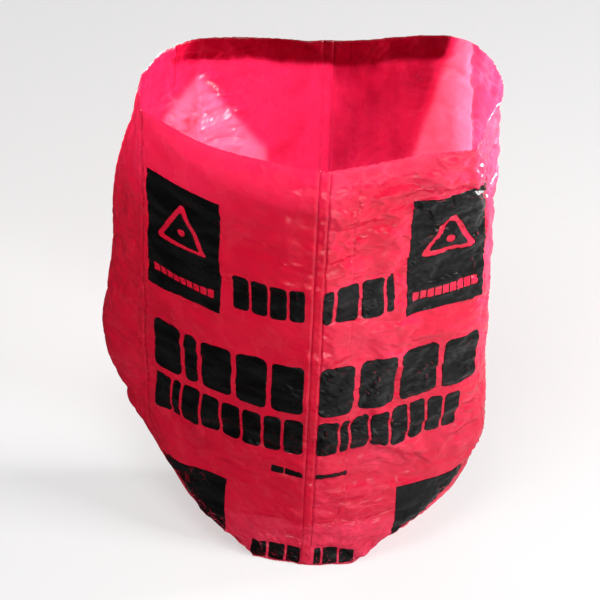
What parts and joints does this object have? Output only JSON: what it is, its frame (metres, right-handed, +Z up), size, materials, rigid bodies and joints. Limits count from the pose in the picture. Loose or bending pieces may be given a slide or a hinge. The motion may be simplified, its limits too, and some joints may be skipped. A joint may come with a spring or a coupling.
{
  "type": "biohazard waste bag",
  "caption": "Large translucent red waste bag standing open, with a V-shaped front wall, a box-like back, a tapered welded base and black printed blocks.",
  "frame": {"origin": "on the floor under the bag, on the line of the front crease's lower end and near the middle of the base", "axes": "+Z up, -Y towards the V-shaped front wall, +X to the right as seen from the front"},
  "size_m": [0.7158, 0.3627, 1.015],
  "materials": {
    "film": "glossy, wrinkled, translucent film",
    "weld": "pressed, darker weld band",
    "ink": "black flexographic ink with a soft sheen"
  },
  "bodies": {
    "back_wall": {"left_side_panel": "film", "right_side_panel": "film", "back_left_panel": "film", "back_right_panel": "film", "back_crease_strip": "film", "base_front_fold": "film", "base_back_fold": "film", "bottom_seal": "weld"},
    "front_wall": {"front_left_panel": "film", "front_right_panel": "film", "front_crease_strip": "film", "upper_left_symbol_block": "ink", "upper_right_symbol_block": "ink", "lower_left_symbol_block": "ink", "lower_right_symbol_block": "ink", "heading_row_left": "ink", "heading_row_right": "ink", "main_row_left": "ink", "main_row_right": "ink", "second_row_left": "ink", "second_row_right": "ink", "small_row_left": "ink", "small_row_right": "ink", "lower_heading_row_left": "ink", "lower_heading_row_right": "ink"}
  },
  "joints": [
    {"name": "mouth", "type": "hinge", "parent": "back_wall", "child": "front_wall", "pos_m": [0, 0.02, 0.001], "axis": [-1, 0, 0], "range_deg": [0, 8], "deforming": ["left_side_panel", "right_side_panel"]}
  ]
}
